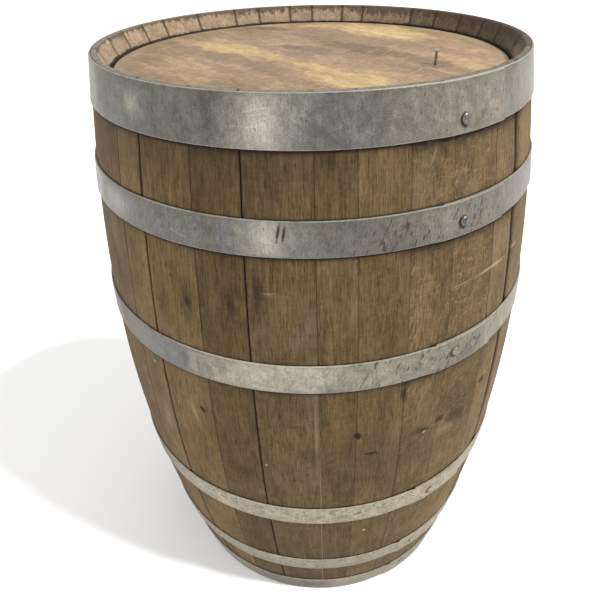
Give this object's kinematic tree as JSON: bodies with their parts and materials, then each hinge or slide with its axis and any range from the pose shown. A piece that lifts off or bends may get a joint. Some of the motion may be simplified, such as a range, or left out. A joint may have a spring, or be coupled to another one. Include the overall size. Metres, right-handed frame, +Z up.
{
  "type": "oak wine barrel",
  "caption": "Bowed oak cask standing on end, bound by riveted steel hoops, with a recessed flat head let into each end, a bung in its side and a pull-out tasting nail in the head.",
  "frame": {"origin": "centre of the circle that the lower rim stands on", "axes": "+Z up along the barrel's own axis, -Y towards the front"},
  "size_m": [0.6837, 0.684, 0.95],
  "materials": {
    "weathered_oak": "dry weathered oak, grey brown",
    "head_oak": "sanded pale oak, dry",
    "galvanised_steel": "dull galvanised hoop iron, scratched",
    "rivet_steel": "dull hammered steel",
    "bung_wood": "turned hardwood, wine stained at the rim",
    "nail_steel": "satin stainless steel"
  },
  "bodies": {
    "barrel": {"stave_01": "weathered_oak", "stave_02": "weathered_oak", "stave_03": "weathered_oak", "stave_04": "weathered_oak", "stave_05": "weathered_oak", "stave_06": "weathered_oak", "stave_07": "weathered_oak", "stave_08": "weathered_oak", "stave_09": "weathered_oak", "stave_10": "weathered_oak", "stave_11": "weathered_oak", "stave_12": "weathered_oak", "bung_stave": "weathered_oak", "stave_14": "weathered_oak", "stave_15": "weathered_oak", "stave_16": "weathered_oak", "stave_17": "weathered_oak", "stave_18": "weathered_oak", "stave_19": "weathered_oak", "stave_20": "weathered_oak", "stave_21": "weathered_oak", "stave_22": "weathered_oak", "stave_23": "weathered_oak", "stave_24": "weathered_oak", "stave_25": "weathered_oak", "stave_26": "weathered_oak", "stave_27": "weathered_oak", "stave_28": "weathered_oak", "stave_29": "weathered_oak", "stave_30": "weathered_oak", "chime_hoop_top": "galvanised_steel", "chime_hoop_bottom": "galvanised_steel", "quarter_hoop_top": "galvanised_steel", "quarter_hoop_bottom": "galvanised_steel", "bilge_hoop_top": "galvanised_steel", "bilge_hoop_bottom": "galvanised_steel", "chime_hoop_top_rivet_1": "rivet_steel", "chime_hoop_top_rivet_2": "rivet_steel", "chime_hoop_bottom_rivet_1": "rivet_steel", "chime_hoop_bottom_rivet_2": "rivet_steel", "quarter_hoop_top_rivet_1": "rivet_steel", "quarter_hoop_top_rivet_2": "rivet_steel", "quarter_hoop_bottom_rivet_1": "rivet_steel", "quarter_hoop_bottom_rivet_2": "rivet_steel", "bilge_hoop_top_rivet_1": "rivet_steel", "bilge_hoop_top_rivet_2": "rivet_steel", "bilge_hoop_bottom_rivet_1": "rivet_steel", "bilge_hoop_bottom_rivet_2": "rivet_steel", "top_head_board_1": "head_oak", "top_head_board_2": "head_oak", "top_head_board_3": "head_oak", "top_head_board_4": "head_oak", "top_head_board_5": "head_oak", "bottom_head_board_1": "head_oak", "bottom_head_board_2": "head_oak", "bottom_head_board_3": "head_oak", "bottom_head_board_4": "head_oak", "bottom_head_board_5": "head_oak"},
    "bung": {"bung": "bung_wood"},
    "sample_nail": {"sample_nail": "nail_steel"}
  },
  "joints": [
    {"name": "bung_pull", "type": "slide", "parent": "barrel", "child": "bung", "axis": [0.4781, 0.8783, 0], "range_m": [0, 0.08]},
    {"name": "nail_pull", "type": "slide", "parent": "barrel", "child": "sample_nail", "axis": [0, 0, 1], "range_m": [0, 0.05]}
  ]
}
